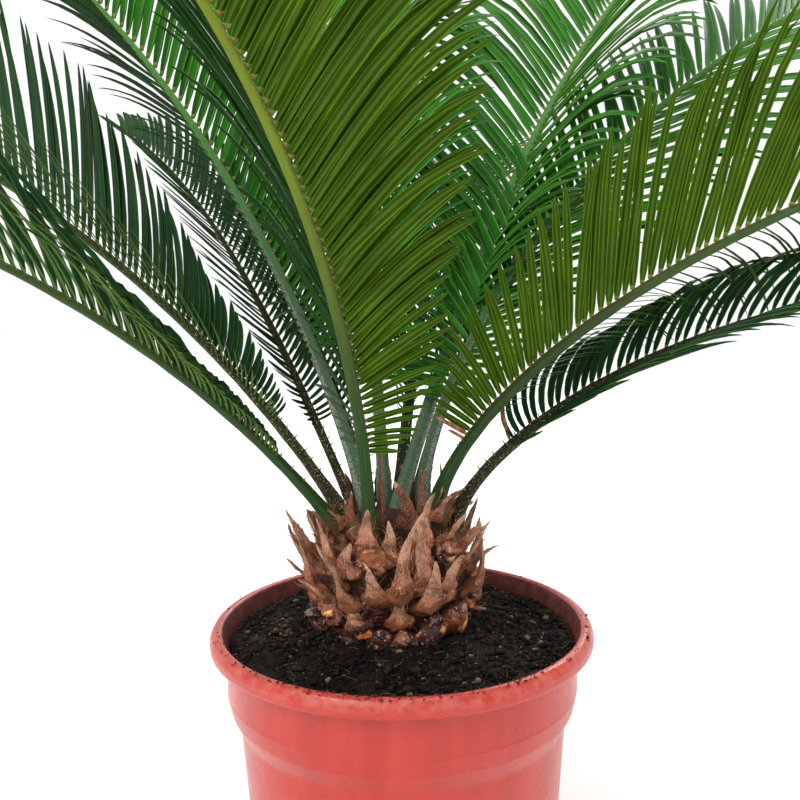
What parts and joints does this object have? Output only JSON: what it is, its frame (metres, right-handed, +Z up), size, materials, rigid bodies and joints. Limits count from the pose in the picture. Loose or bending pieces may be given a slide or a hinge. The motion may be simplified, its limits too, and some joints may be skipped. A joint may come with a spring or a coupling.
{
  "type": "potted sago palm",
  "caption": "Young sago palm with a scaly barrel trunk and arching feather fronds, standing in a round rolled-rim nursery pot filled with soil.",
  "frame": {"origin": "centre of the pot's flat underside, at floor level", "axes": "+Z up along the pot's axis, -Y the front of the plant, +X its right side seen from the front"},
  "size_m": [1.2086, 1.1374, 0.8502],
  "materials": {
    "pot_plastic": "smooth moulded plastic, satin gloss, lightly soiled on the rim",
    "potting_soil": "moist dark potting mix with fibres and bark crumbs, matt",
    "trunk_scales": "dry rust-brown leaf bases with felt and woody points, matt",
    "frond_green": "firm green leaflets on a ribbed stalk, slight waxy gloss"
  },
  "bodies": {
    "root": {"pot": "pot_plastic", "potting_soil": "potting_soil", "trunk": "trunk_scales", "frond_front_inner": "frond_green", "frond_front_outer": "frond_green", "frond_right_inner": "frond_green", "frond_right_outer": "frond_green", "frond_right_low_inner": "frond_green", "frond_right_low_outer": "frond_green", "frond_left_inner": "frond_green", "frond_left_outer": "frond_green", "frond_left_low_inner": "frond_green", "frond_left_low_outer": "frond_green", "frond_back_right_tall_inner": "frond_green", "frond_back_right_tall_outer": "frond_green", "frond_back_left_tall_inner": "frond_green", "frond_back_left_tall_outer": "frond_green", "frond_left_back_inner": "frond_green", "frond_left_back_outer": "frond_green", "frond_right_tall_inner": "frond_green", "frond_right_tall_outer": "frond_green", "frond_back_tall_inner": "frond_green", "frond_back_tall_outer": "frond_green", "frond_back_low_inner": "frond_green", "frond_back_low_outer": "frond_green", "frond_back_right_low_inner": "frond_green", "frond_back_right_low_outer": "frond_green", "frond_back_left_low_inner": "frond_green", "frond_back_left_low_outer": "frond_green"}
  },
  "joints": []
}
